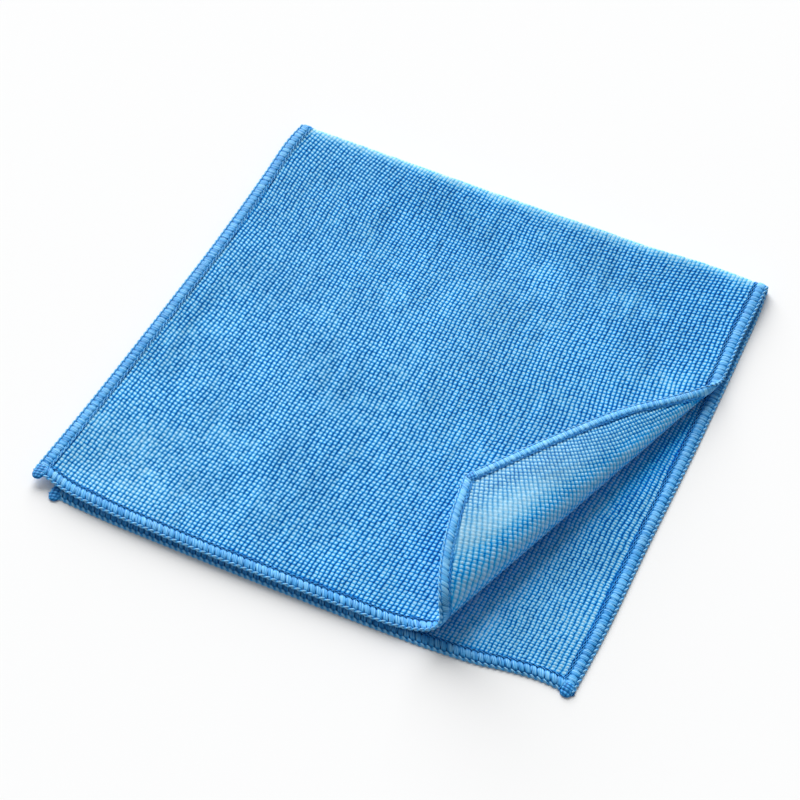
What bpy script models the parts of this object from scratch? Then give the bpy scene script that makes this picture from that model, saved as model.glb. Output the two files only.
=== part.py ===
"""Microfibre cleaning cloth, folded once, with one corner turned back.

The cloth is a single knitted sheet with an overlocked hem on its four sides, so
it is modelled as one closed solid. It lies on a surface with the fold at the
back: a lower layer flat on the surface, a rounded fold, and an upper layer that
comes forward again over the lower one. The front right corner of the upper
layer is rolled back over it, and shows the inner face of the cloth.

Every point of the cloth has two flat coordinates: x, to the right along the
fold, and d, the distance from the fold. d is below zero on the lower layer and
above zero on the upper one. Two functions carry the shape: one gives the middle
of the cloth at (x, d), the other its thickness at a distance from the edge.

Sizes are in millimetres, angles in degrees. The mesh is written in metres, +Z up,
with its origin under the middle of the cloth, on the surface that it rests on.
"""
import math

import bmesh
import bpy
import numpy as np
from mathutils import Vector
from mathutils.geometry import delaunay_2d_cdt

MM = 0.001

# ---- driving dimensions -----------------------------------------------------------
FIELD_THICKNESS = 1.5          # knitted ground, with its pearl stitches
HEM_WIDTH = 6.8                # overlocked band along every edge
# Overlocked edge: distance from the edge, thickness there
HEM_PROFILE = (
    (0.0, 1.1),
    (0.8, 2.0),
    (3.4, 2.4),
    (6.2, 2.1),
    (7.6, FIELD_THICKNESS),
)
FOLD_TOP = 5.6                 # height of the middle of the cloth just over the fold
HEM_LEVEL = 4.6                # the same along the upper layer's hem, which lies on the lower hem
FIELD_LEVEL = 3.7              # and in its field, which sags between the hems
FOLD_SETTLE = 42.0             # distance over which the layer comes down from the fold
HEM_SETTLE = 26.0              # distance over which it comes down from a hem

# ---- outline, as the cloth lies ---------------------------------------------------
# Sides of the lower layer: distance from the fold, left edge, right edge
LOWER_SIDES = (
    (0, -148.4, 148.0),
    (14, -149.3, 149.4),
    (50, -148.6, 150.8),
    (110, -147.6, 152.2),
    (200, -145.6, 152.9),
    (255, -144.6, 153.7),
    (300, -144.4, 152.6),
)
# Front of the lower layer: position along the fold, distance from the fold
LOWER_FRONT = (
    (-150, 297.6),
    (-138, 299.2),
    (-112, 300.8),
    (-70, 301.3),
    (0, 301.1),
    (50, 300.5),
    (85, 299.2),
    (104, 297.3),
    (116, 295.0),
    (134, 292.8),
    (156, 294.4),
)
# Sides of the upper layer: distance from the fold, left edge, right edge
UPPER_SIDES = (
    (0, -148.4, 148.0),
    (14, -150.3, 148.2),
    (45, -150.2, 148.1),
    (68, -149.9, 149.2),
    (85, -149.9, 149.8),
    (108, -150.0, 151.8),
    (142, -150.9, 156.8),
    (175, -152.0, 157.5),
    (208, -153.2, 156.8),
    (240, -154.6, 155.6),
    (300, -158.4, 155.0),
)
# Front of the upper layer: position along the fold, distance from the fold. Past the
# start of the curl the hem is drawn in towards the turned-back corner.
UPPER_FRONT = (
    (-160, 290.4),
    (-149, 292.8),
    (-138, 295.6),
    (-112, 298.2),
    (-80, 299.3),
    (-20, 299.4),
    (30, 298.3),
    (56, 297.4),
    (72, 294.6),
    (84, 293.4),
    (94, 293.0),
    (102, 289.4),
    (116, 280.0),
    (136, 262.4),
    (160, 237.0),
)
# The back of the fold: position along the fold, how far it stands back from a straight line
FOLD_BOW = (
    (-150, 3.2),
    (-120, 2.7),
    (-70, 1.8),
    (-10, 0.8),
    (45, 0.5),
    (75, 0.0),
    (110, 1.6),
    (150, 0.2),
)
FOLD_BOW_REACH = 60.0          # distance from the fold over which its bow fades out
FOLD_RADIUS = (FOLD_TOP - FIELD_THICKNESS / 2) / 2     # of the middle of the cloth in the fold

# ---- soft unevenness of the upper layer --------------------------------------------
# Swells and hollows: x, distance from the fold, half-length along x and across, height
SWELLS = (
    (-95, 60, 52, 34, 0.8),
    (-20, 48, 60, 26, -0.5),
    (62, 70, 55, 34, 0.7),
    (-100, 150, 44, 50, -0.6),
    (-30, 128, 50, 40, 0.9),
    (35, 165, 46, 44, -0.5),
    (-85, 225, 52, 40, 0.8),
    (-5, 232, 60, 34, 0.6),
)

# ---- turned-back corner -------------------------------------------------------------
# The corner rolls about lines that fan out from one point beside the right edge.
CURL_APEX = (162.9, 34.8)      # x, distance from the fold
CURL_LEVEL = 4.4               # height of the middle of the cloth where the roll starts
CURL_START = -21.1             # direction of the first line, from straight forward towards +X
CURL_ROLL = 8.0                # fan angle taken up by the roll itself
CURL_TURN = 163.0              # how far the roll turns the cloth over
CURL_FLAP_END = 8.0            # direction of the last line, past the corner
CURL_FLAP_TURN = 34.0          # the flap goes on bending by this much up to the last line
CURL_BLEND = 14.0              # fan angle before the roll over which the layer levels out
CURL_STEPS = 1200              # steps in working out the roll
ROLL_SOFTNESS = 0.5            # how much gentler the roll bends at its two ends than in its middle
FLAP_FROM = 0.8                # share of the roll after which the flap's own bend sets in

# ---- fineness of the mesh -------------------------------------------------------------
COLUMNS = 17                   # columns of points across the field
LOWER_ROWS = 7                 # rows of points over the lower layer
FOLD_ROWS = 8                  # strips around the fold
UPPER_ROWS = 19                # rows of points over the upper layer
FRONT_POINTS = 24              # points along each front hem
ROLL_LINES = 14                # strips of the roll, each flat across
FLAP_LINES = 5                 # strips of the flap behind it
LAST_LINE = -5.5               # direction of the last of those lines
LINE_POINTS = 9                # points along each line, between its two hems
CORNER_ROOM = 14.0             # rows and front points stay this far from the corners
LINE_ROOM = 2.0                # and other points this far from the lines of the roll
SEARCH_STEPS = 44              # halvings when a crossing is looked for
SEARCH_REACH = 300.0           # and the furthest from the apex, straight forward, that one can be
TOUCH = 0.01                   # slack in telling whether a point is on the cloth
MERGE = 1e-6                   # points closer than this are one

CLOTH_BLUE = (0.045, 0.235, 0.62, 1.0)
CLOTH_ROUGHNESS = 0.85


def soft_curve(rows, column):
    """A smooth curve through one column of a table whose first column is the position."""
    place = np.array([row[0] for row in rows], float)
    value = np.array([row[column] for row in rows], float)
    slope = np.gradient(value, place)

    def curve(x):
        x = np.clip(x, place[0], place[-1])
        i = np.clip(np.searchsorted(place, x, side="right") - 1, 0, len(place) - 2)
        span = place[i + 1] - place[i]
        t = (x - place[i]) / span
        rise = t * t * (3 - 2 * t)
        return (value[i] * (1 - rise) + value[i + 1] * rise
                + span * t * (1 - t) * ((1 - t) * slope[i] - t * slope[i + 1]))
    return curve


def smooth_step(x):
    """0 below 0, 1 above 1, and a soft S between them."""
    x = np.clip(x, 0.0, 1.0)
    return x * x * (3 - 2 * x)


lower_left = soft_curve(LOWER_SIDES, 1)
lower_right = soft_curve(LOWER_SIDES, 2)
lower_front = soft_curve(LOWER_FRONT, 1)
upper_left = soft_curve(UPPER_SIDES, 1)
upper_right = soft_curve(UPPER_SIDES, 2)
upper_front = soft_curve(UPPER_FRONT, 1)
fold_bow = soft_curve(FOLD_BOW, 1)


def left_edge(d):
    return np.where(d < 0, lower_left(-d), upper_left(d))


def right_edge(d):
    return np.where(d < 0, lower_right(-d), upper_right(d))


def curl_directions():
    """Unit vectors from the apex along the cloth, one for each fan direction.

    Following the fan, the direction turns within the cloth at the flat rate, and the
    cloth itself turns over at the bending rate, so nothing is stretched.
    """
    angle = np.radians(np.linspace(CURL_START, CURL_FLAP_END, CURL_STEPS))
    share = (angle - angle[0]) / math.radians(CURL_ROLL)
    rolling = (share < 1) * (1 - ROLL_SOFTNESS * np.cos(2 * np.pi * share)) / CURL_ROLL
    flapping = (share > FLAP_FROM) / (CURL_FLAP_END - CURL_START - FLAP_FROM * CURL_ROLL)
    bend = CURL_TURN * rolling + CURL_FLAP_TURN * flapping
    step = angle[1] - angle[0]
    along = np.array([math.sin(angle[0]), -math.cos(angle[0]), 0.0])
    across = np.array([math.cos(angle[0]), math.sin(angle[0]), 0.0])
    directions = [along]
    for k in range(1, CURL_STEPS):
        normal = np.cross(along, across)
        new_along = along + step * across
        new_across = across + step * (bend[k] * normal - along)
        along = new_along / np.linalg.norm(new_along)
        new_across -= along * new_across.dot(along)
        across = new_across / np.linalg.norm(new_across)
        directions.append(along)
    return angle, np.array(directions)


CURL_ANGLES, CURL_DIRECTIONS = curl_directions()


def resting_middle(x, d):
    """Middle of the cloth at (x, d) as it lies folded, before its corner is turned back."""
    reach = np.abs(d)
    theta = np.clip(d / FOLD_RADIUS, -1, 1) * math.pi / 2
    bow = fold_bow(x) * (1 - smooth_step(reach / FOLD_BOW_REACH))
    y = bow - np.where(reach > FOLD_RADIUS, reach, FOLD_RADIUS * (1 - np.cos(theta)))
    z = FIELD_THICKNESS / 2 + FOLD_RADIUS * (1 + np.sin(theta))

    to_side = np.minimum(x - left_edge(d), right_edge(d) - x)
    to_hem = np.minimum(to_side, upper_front(x) - d)
    hem_share = 1 - smooth_step((to_hem - HEM_WIDTH) / HEM_SETTLE)
    fold_share = 1 - smooth_step((d - FOLD_RADIUS) / FOLD_SETTLE)
    level = FIELD_LEVEL + (HEM_LEVEL - FIELD_LEVEL) * hem_share
    for at_x, at_d, half_x, half_d, height in SWELLS:
        far = ((x - at_x) / half_x) ** 2 + ((d - at_d) / half_d) ** 2
        level = level + height * np.exp(-far) * (1 - hem_share)
    level = level + (FOLD_TOP - level) * fold_share
    fan = np.degrees(np.arctan2(x - CURL_APEX[0], d - CURL_APEX[1]))
    near_curl = smooth_step((fan - CURL_START) / CURL_BLEND + 1) * (d > CURL_APEX[1])
    level = level + (CURL_LEVEL - level) * near_curl
    z = np.where(d > FOLD_RADIUS, level, z)
    return np.stack([x, y, z], axis=-1)


def middle(x, d):
    """Middle of the cloth at (x, d), with its corner turned back."""
    point = resting_middle(x, d)
    out = x - CURL_APEX[0]
    forward = d - CURL_APEX[1]
    fan = np.arctan2(out, forward)
    curled = (forward > 0) & (fan > CURL_ANGLES[0])
    reach = np.hypot(out, forward)
    apex = np.array([CURL_APEX[0], -CURL_APEX[1], CURL_LEVEL])
    rolled = np.stack([np.interp(fan, CURL_ANGLES, CURL_DIRECTIONS[:, k]) for k in range(3)], axis=-1)
    return np.where(curled[..., None], apex + reach[..., None] * rolled, point)


def inward(x, d, step=0.02):
    """Unit normal of the cloth, pointing to the side that lies inside the fold."""
    along_x = middle(x + step, d) - middle(x - step, d)
    along_d = middle(x, d + step) - middle(x, d - step)
    normal = np.cross(along_x, along_d)
    return normal / np.linalg.norm(normal, axis=-1, keepdims=True)


def front_edge(x, side):
    """Distance from the fold of the front edge; side is -1 for the lower layer, 1 for the upper."""
    return lower_front(x) if side < 0 else upper_front(x)


def slant(x, side):
    """Length along the layer's depth of one millimetre square to its front edge."""
    half = 0.5
    slope = front_edge(x + half, side) - front_edge(x - half, side)
    return np.sqrt(1 + slope * slope)


def edge_distance(x, d):
    """Distance from (x, d) to the nearest edge of the cloth."""
    to_side = np.minimum(x - left_edge(d), right_edge(d) - x)
    to_lower = (lower_front(x) + d) / slant(x, -1)
    to_upper = (upper_front(x) - d) / slant(x, 1)
    return np.minimum(to_side, np.minimum(to_lower, to_upper))


def corner(offset, side, right):
    """Corner of the line that runs at one distance from the edges."""
    x, d = 0.0, 0.0
    for _ in range(SEARCH_STEPS):
        d = side * (front_edge(x, side) - offset * slant(x, side))
        x = right_edge(d) - offset if right else left_edge(d) + offset
    return float(x), float(d)


def crossing(line, offset, at_front):
    """Where a line of the fan crosses the line at one distance from the right or front edge."""
    near, far = 0.0, SEARCH_REACH
    tangent = math.tan(math.radians(line))
    for _ in range(SEARCH_STEPS):
        forward = (near + far) / 2
        x, d = CURL_APEX[0] + forward * tangent, CURL_APEX[1] + forward
        if at_front:
            passed = d > upper_front(x) - offset * slant(x, 1)
        else:
            passed = x < right_edge(d) - offset
        near, far = (near, forward) if passed else (forward, far)
    return x, d


def curl_lines():
    """Points along each line of the fan, from the right edge to the front edge."""
    offsets = [row[0] for row in HEM_PROFILE]
    rolling = np.linspace(CURL_START, CURL_START + CURL_ROLL, ROLL_LINES + 1)
    flapping = np.linspace(CURL_START + CURL_ROLL, LAST_LINE, FLAP_LINES + 1)[1:]
    lines = []
    for direction in [*rolling, *flapping]:
        right = [crossing(direction, offset, False) for offset in offsets]
        front = [crossing(direction, offset, True) for offset in reversed(offsets)]
        field = np.linspace(right[-1], front[0], LINE_POINTS + 2)[1:-1]
        lines.append([*right, *map(tuple, field), *front])
    return lines


def beside_curl(x, d):
    """-1 for a point before the lines of the roll, 1 for one past them, 0 among them."""
    if d <= CURL_APEX[1]:
        return -1
    out, forward = x - CURL_APEX[0], d - CURL_APEX[1]
    first, last = math.radians(CURL_START), math.radians(LAST_LINE)
    if out * math.cos(first) - forward * math.sin(first) < -LINE_ROOM:
        return -1
    return int(out * math.cos(last) - forward * math.sin(last) > LINE_ROOM)


def cloth_rows():
    """Signed distances from the fold at which rows of points run across the cloth."""
    lower_end = lower_front(0.0) - CORNER_ROOM
    upper_end = upper_front(0.0) - CORNER_ROOM
    rows = list(np.linspace(-lower_end, -FOLD_RADIUS, LOWER_ROWS + 1)[:-1])
    rows += list(np.linspace(-FOLD_RADIUS, FOLD_RADIUS, FOLD_ROWS + 1))
    rows += list(np.linspace(FOLD_RADIUS, upper_end, UPPER_ROWS + 1)[1:])
    return rows


def hem_ring(offset, at_right, at_front):
    """Points all around the cloth at one distance from its edges.

    at_right and at_front are where the lines of the fan cross that ring.
    """
    low_left, low_right = corner(offset, -1, False), corner(offset, -1, True)
    top_left, top_right = corner(offset, 1, False), corner(offset, 1, True)

    low_x = np.linspace(low_left[0], low_right[0], FRONT_POINTS + 1)[1:-1]
    low = [(x, offset * slant(x, -1) - lower_front(x)) for x in low_x]

    rows = [d for d in cloth_rows() if low_right[1] + LINE_ROOM < d < top_right[1] - LINE_ROOM]
    right = [(right_edge(d) - offset, d) for d in rows]
    right = [spot for spot in right if beside_curl(*spot)] + at_right
    right.sort(key=lambda spot: spot[1])

    top_x = np.linspace(top_left[0], top_right[0], FRONT_POINTS + 1)[1:-1]
    top = [(x, upper_front(x) - offset * slant(x, 1)) for x in top_x]
    top = [spot for spot in top if beside_curl(*spot)] + at_front
    top.sort(reverse=True)

    rows = [d for d in cloth_rows() if low_left[1] + LINE_ROOM < d < top_left[1] - LINE_ROOM]
    left = [(left_edge(d) + offset, d) for d in reversed(rows)]
    return [low_left, *low, low_right, *right, top_right, *top, top_left, *left]


def field_row(d):
    """Points of one row across the cloth, from its left edge to its right one."""
    hems = [row[0] for row in HEM_PROFILE]
    field = np.linspace(left_edge(d) + hems[-1], right_edge(d) - hems[-1], COLUMNS + 1)[1:-1]
    across = [left_edge(d) + hem for hem in hems] + list(field)
    across += [right_edge(d) - hem for hem in reversed(hems)]
    return [(x, d) for x in across if edge_distance(x, d) > -TOUCH]


def flat_cloth():
    """The cloth spread flat: its points (x, d) and triangles between them.

    Lines that every triangle keeps to: the rings of the hem, the rows across the
    cloth, and the lines of the fan in the roll.
    """
    points, index, edges = [], {}, []

    def join(chain):
        keys = [(round(float(x), 4), round(float(d), 4)) for x, d in chain]
        for key in keys:
            if key not in index:
                index[key] = len(points)
                points.append(Vector(key))
        numbers = [index[key] for key in keys]
        edges.extend((a, b) for a, b in zip(numbers, numbers[1:]) if a != b)
        return numbers

    lines = curl_lines()
    for line in lines:
        join(line)
    rings = []
    for k, (offset, _) in enumerate(HEM_PROFILE):
        ring = hem_ring(offset, [line[k] for line in lines], [line[-1 - k] for line in lines])
        rings.append(join(ring + ring[:1])[:-1])
    for d in cloth_rows():
        row = field_row(d)
        for side in (-1, 1):
            join([(x, d) for x, d in row if beside_curl(x, d) == side])

    inside_outline = 1
    flat, _, faces, *_ = delaunay_2d_cdt(points, edges, rings[:1], inside_outline, MERGE)
    return np.array([tuple(spot) for spot in flat]), faces


def build_cloth():
    """The whole cloth as one closed mesh, in millimetres, before it is centred."""
    flat, faces = flat_cloth()
    x, d = flat[:, 0], flat[:, 1]
    offsets, thicknesses = zip(*HEM_PROFILE)
    thickness = np.interp(edge_distance(x, d), offsets, thicknesses)
    centre = middle(x, d)
    lying = 1 - smooth_step((d + FOLD_RADIUS) / (2 * FOLD_RADIUS))
    centre[:, 2] += lying * (thickness - FIELD_THICKNESS) / 2
    half = inward(x, d) * thickness[:, None] / 2

    mesh = bmesh.new()
    inner = [mesh.verts.new(p) for p in centre + half]
    outer = [mesh.verts.new(p) for p in centre - half]
    sides = set()
    for face in faces:
        mesh.faces.new([inner[i] for i in face])
        mesh.faces.new([outer[i] for i in reversed(face)])
        sides.update(zip(face, (*face[1:], face[0])))
    for a, b in sides:
        if (b, a) not in sides:
            mesh.faces.new((inner[b], inner[a], outer[a], outer[b]))
    bmesh.ops.delete(mesh, geom=[vert for vert in mesh.verts if not vert.link_faces], context="VERTS")
    return mesh


def centre_on_origin(mesh):
    """Moves the mesh so that the origin is under the middle of its box, and scales it to metres."""
    points = np.array([vert.co for vert in mesh.verts])
    low, high = points.min(axis=0), points.max(axis=0)
    shift = np.array([(low[0] + high[0]) / 2, (low[1] + high[1]) / 2, low[2]])
    for vert, point in zip(mesh.verts, points):
        vert.co = (point - shift) * MM
    print("cloth box (mm):", np.round(high - low, 2), "moved by", np.round(-shift, 3))


def cloth_material():
    material = bpy.data.materials.new("microfibre_knit")
    material.use_nodes = True
    shader = material.node_tree.nodes["Principled BSDF"]
    shader.inputs["Base Color"].default_value = CLOTH_BLUE
    shader.inputs["Roughness"].default_value = CLOTH_ROUGHNESS
    shader.inputs["Metallic"].default_value = 0.0
    return material


def main():
    for thing in list(bpy.data.objects):
        bpy.data.objects.remove(thing, do_unlink=True)
    mesh = build_cloth()
    centre_on_origin(mesh)
    data = bpy.data.meshes.new("cloth")
    mesh.to_mesh(data)
    mesh.free()
    data.shade_smooth()
    data.set_sharp_from_angle(angle=math.radians(50))
    data.materials.append(cloth_material())
    cloth = bpy.data.objects.new("cloth", data)
    bpy.context.scene.collection.objects.link(cloth)


main()
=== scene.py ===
# %% [markdown]
# # A pearl-knit microfibre cloth
#
# The real thing is one rectangle of knitted split-fibre microfibre, 30 by 60 cm, with an
# overlocked hem on its four edges. It lies folded once, and one corner of the upper layer
# is turned back. This lesson dresses the plain solid of that cloth with its knit and its
# stitching. Every stitch is worked out in the cloth's own flat coordinates and then laid
# on its folds, because that keeps the pattern true wherever the cloth turns.

# %% Load the plain solid
import math
import bpy
import numpy as np
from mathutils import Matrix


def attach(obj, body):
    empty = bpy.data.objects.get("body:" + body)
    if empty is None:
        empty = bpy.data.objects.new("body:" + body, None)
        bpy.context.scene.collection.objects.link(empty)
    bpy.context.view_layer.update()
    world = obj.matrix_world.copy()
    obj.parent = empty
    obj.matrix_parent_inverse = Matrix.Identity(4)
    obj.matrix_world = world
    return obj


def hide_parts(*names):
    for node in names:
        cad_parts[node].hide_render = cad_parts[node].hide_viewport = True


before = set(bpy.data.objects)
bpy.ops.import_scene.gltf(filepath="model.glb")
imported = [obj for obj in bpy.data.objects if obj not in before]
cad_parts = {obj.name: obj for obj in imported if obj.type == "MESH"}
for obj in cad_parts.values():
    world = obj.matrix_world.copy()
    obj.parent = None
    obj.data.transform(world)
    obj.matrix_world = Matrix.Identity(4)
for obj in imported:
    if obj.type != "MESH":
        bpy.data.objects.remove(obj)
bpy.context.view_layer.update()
MM = 0.001

# %% [markdown]
# ## Camera
#
# The camera comes first, so that each piece can be judged from the same place. It looks
# down at about 51 degrees and from 26 degrees to the right, through a long lens, which
# keeps the far edge nearly as long as the near one.

# %% Camera
CAMERA_AZIMUTH = math.radians(25.634)
CAMERA_ELEVATION = math.radians(50.760)
CAMERA_DISTANCE = 1254.4 * MM
CAMERA_TARGET = (-3.28 * MM, -12.28 * MM, 0.0)
LENS_MM = 103.5

camera_data = bpy.data.cameras.new("camera")
camera_data.lens = LENS_MM
camera_data.sensor_width = 36.0
camera = bpy.data.objects.new("camera", camera_data)
bpy.context.scene.collection.objects.link(camera)
back = (
    math.sin(CAMERA_AZIMUTH) * math.cos(CAMERA_ELEVATION),
    -math.cos(CAMERA_AZIMUTH) * math.cos(CAMERA_ELEVATION),
    math.sin(CAMERA_ELEVATION),
)
camera.location = [CAMERA_TARGET[k] + CAMERA_DISTANCE * back[k] for k in range(3)]
camera.rotation_euler = (math.pi / 2 - CAMERA_ELEVATION, 0.0, CAMERA_AZIMUTH)
bpy.context.scene.camera = camera
print("camera stands at (mm):", [round(c / MM) for c in camera.location])

# %% [markdown]
# ## The folds
#
# Each point of the cloth has two flat coordinates: x, to the right along the fold, and d,
# the distance from the fold, below zero on the lower layer and above zero on the upper
# one. A few tables give the outline, and one function gives the middle of the cloth. The
# turned-back corner rolls about lines that fan out from one point, like a paper page, so
# it bends without stretching.

# %% Thicknesses and levels of the folded cloth, in millimetres
FIELD_THICKNESS = 1.5
HEM_WIDTH = 6.8
# Distance from the edge, and how thick the cloth is there
HEM_OFFSETS = (0.0, 0.8, 3.4, 6.2, 7.6)
HEM_THICKNESSES = (1.1, 2.0, 2.4, 2.1, FIELD_THICKNESS)
# Height of the upper layer's middle at the fold, beside a hem and elsewhere
FOLD_TOP = 5.6
HEM_LEVEL = 4.6
FIELD_LEVEL = 3.7
# Distance over which it settles from the fold's height, and from a hem's
FOLD_SETTLE = 42.0
HEM_SETTLE = 26.0
FOLD_RADIUS = (FOLD_TOP - FIELD_THICKNESS / 2) / 2
ORIGIN_FROM_FOLD = (-2.052, -148.519)      # the frame's origin, from the middle of the fold
print("the fold's radius is", round(FOLD_RADIUS, 2), "mm")

# %% Outline of the two layers, in millimetres
# Distance from the fold, left edge, right edge
LOWER_SIDES = (
    (0, -148.4, 148.0),
    (14, -149.3, 149.4),
    (50, -148.6, 150.8),
    (110, -147.6, 152.2),
    (200, -145.6, 152.9),
    (255, -144.6, 153.7),
    (300, -144.4, 152.6),
)
UPPER_SIDES = (
    (0, -148.4, 148.0),
    (14, -150.3, 148.2),
    (45, -150.2, 148.1),
    (68, -149.9, 149.2),
    (85, -149.9, 149.8),
    (108, -150.0, 151.8),
    (142, -150.9, 156.8),
    (175, -152.0, 157.5),
    (208, -153.2, 156.8),
    (240, -154.6, 155.6),
    (300, -158.4, 155.0),
)
# Position along the fold, distance from the fold
LOWER_FRONT = (
    (-150, 297.6),
    (-138, 299.2),
    (-112, 300.8),
    (-70, 301.3),
    (0, 301.1),
    (50, 300.5),
    (85, 299.2),
    (104, 297.3),
    (116, 295.0),
    (134, 292.8),
    (156, 294.4),
)
UPPER_FRONT = (
    (-160, 290.4),
    (-149, 292.8),
    (-138, 295.6),
    (-112, 298.2),
    (-80, 299.3),
    (-20, 299.4),
    (30, 298.3),
    (56, 297.4),
    (72, 294.6),
    (84, 293.4),
    (94, 293.0),
    (102, 289.4),
    (116, 280.0),
    (136, 262.4),
    (160, 237.0),
)
print("the lower layer's outline has", len(LOWER_SIDES) + len(LOWER_FRONT), "places")

# %% Bow of the fold, and swells of the upper layer, in millimetres
# Position along the fold, how far the fold stands back from a straight line
FOLD_BOW = (
    (-150, 3.2),
    (-120, 2.7),
    (-70, 1.8),
    (-10, 0.8),
    (45, 0.5),
    (75, 0.0),
    (110, 1.6),
    (150, 0.2),
)
FOLD_BOW_REACH = 60.0
# Swells and hollows of the upper layer: x, d, half-length along x and along d, height
SWELLS = (
    (-95, 60, 52, 34, 0.8),
    (-20, 48, 60, 26, -0.5),
    (62, 70, 55, 34, 0.7),
    (-100, 150, 44, 50, -0.6),
    (-30, 128, 50, 40, 0.9),
    (35, 165, 46, 44, -0.5),
    (-85, 225, 52, 40, 0.8),
    (-5, 232, 60, 34, 0.6),
)
print("the upper layer has", len(SWELLS), "swells and hollows")

# %% Soft curves through the tables


def soft_curve(rows, column):
    """A smooth curve through one column of a table whose first column is the position."""
    place = np.array([row[0] for row in rows], float)
    value = np.array([row[column] for row in rows], float)
    slope = np.gradient(value, place)

    def curve(x):
        x = np.clip(x, place[0], place[-1])
        i = np.clip(np.searchsorted(place, x, side="right") - 1, 0, len(place) - 2)
        span = place[i + 1] - place[i]
        t = (x - place[i]) / span
        rise = t * t * (3 - 2 * t)
        return (value[i] * (1 - rise) + value[i + 1] * rise
                + span * t * (1 - t) * ((1 - t) * slope[i] - t * slope[i + 1]))
    return curve


def smooth_step(x):
    """0 below 0, 1 above 1, and a soft S between them."""
    x = np.clip(x, 0.0, 1.0)
    return x * x * (3 - 2 * x)


def soft_peak(value, at, reach):
    """1 at one place, and next to nothing from twice the reach away."""
    return np.exp(-((value - at) / reach) ** 2)


lower_left, lower_right = soft_curve(LOWER_SIDES, 1), soft_curve(LOWER_SIDES, 2)
upper_left, upper_right = soft_curve(UPPER_SIDES, 1), soft_curve(UPPER_SIDES, 2)
lower_front, upper_front = soft_curve(LOWER_FRONT, 1), soft_curve(UPPER_FRONT, 1)
fold_bow = soft_curve(FOLD_BOW, 1)


def left_edge(d):
    return np.where(d < 0, lower_left(-d), upper_left(d))


def right_edge(d):
    return np.where(d < 0, lower_right(-d), upper_right(d))


print("upper layer is", round(float(right_edge(200.0) - left_edge(200.0))), "mm wide at d = 200")

# %% The roll of the turned-back corner
CURL_APEX = (162.9, 34.8)      # the point from which the roll fans out
CURL_LEVEL = 4.4               # height of the cloth's middle there
# Directions from the apex, in degrees
CURL_START = -21.1             # where the roll starts
CURL_ROLL = 8.0                # how wide it is
CURL_FLAP_END = 8.0            # where the flap past it ends
CURL_BLEND = 14.0              # over how much the layer before it comes to its level
# How far the roll turns the cloth over, and how far the flap goes on turning, in degrees
CURL_TURN = 163.0
CURL_FLAP_TURN = 34.0
CURL_STEPS = 1200
ROLL_SOFTNESS = 0.5            # how much less the roll bends at its sides, and more at its middle
FLAP_FROM = 0.8                # share of the roll after which the flap's own bend starts


def curl_directions():
    """Unit vectors from the apex along the cloth, one for each direction of the fan."""
    angle = np.radians(np.linspace(CURL_START, CURL_FLAP_END, CURL_STEPS))
    share = (angle - angle[0]) / math.radians(CURL_ROLL)
    rolling = (share < 1) * (1 - ROLL_SOFTNESS * np.cos(2 * np.pi * share)) / CURL_ROLL
    flapping = (share > FLAP_FROM) / (CURL_FLAP_END - CURL_START - FLAP_FROM * CURL_ROLL)
    bend = CURL_TURN * rolling + CURL_FLAP_TURN * flapping
    step = angle[1] - angle[0]
    along = np.array([math.sin(angle[0]), -math.cos(angle[0]), 0.0])
    across = np.array([math.cos(angle[0]), math.sin(angle[0]), 0.0])
    directions = [along]
    for k in range(1, CURL_STEPS):
        normal = np.cross(along, across)
        new_along = along + step * across
        new_across = across + step * (bend[k] * normal - along)
        along = new_along / np.linalg.norm(new_along)
        new_across -= along * new_across.dot(along)
        across = new_across / np.linalg.norm(new_across)
        directions.append(along)
    return angle, np.array(directions)


CURL_ANGLES, CURL_DIRECTIONS = curl_directions()


def fan_direction(x, d):
    """Direction of (x, d) from the apex of the fan, in degrees; the roll starts at CURL_START."""
    return np.degrees(np.arctan2(x - CURL_APEX[0], d - CURL_APEX[1]))


print("the corner turns over by", round(CURL_TURN + CURL_FLAP_TURN), "degrees in all, at its last line")

# %% Distance from the edge, and width of the hem
HEM_DRAWN_IN = 0.2             # how much narrower the hem is on the turned-back corner
HEM_DRAWN_FROM = 3.0           # degrees past the start of the roll where it starts to narrow
HEM_DRAWN_OVER = 7.0


def edge_distance(x, d):
    """Distance from (x, d) to the nearest edge of the cloth."""
    half = 0.5
    to_side = np.minimum(x - left_edge(d), right_edge(d) - x)
    low_slope = lower_front(x + half) - lower_front(x - half)
    top_slope = upper_front(x + half) - upper_front(x - half)
    to_lower = (lower_front(x) + d) / np.sqrt(1 + low_slope ** 2)
    to_upper = (upper_front(x) - d) / np.sqrt(1 + top_slope ** 2)
    return np.minimum(to_side, np.minimum(to_lower, to_upper))


def hem_scale(x, d):
    """Width of the hem beside its width elsewhere: it is drawn in on the turned-back corner."""
    drawn = smooth_step((fan_direction(x, d) - CURL_START - HEM_DRAWN_FROM) / HEM_DRAWN_OVER)
    return 1 - HEM_DRAWN_IN * drawn * (d > CURL_APEX[1])


print("hem's width at the turned-back corner's tip, beside elsewhere:",
      round(float(hem_scale(upper_right(240.0), 240.0)), 2))

# %% Middle of the cloth, and points above or below it


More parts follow.
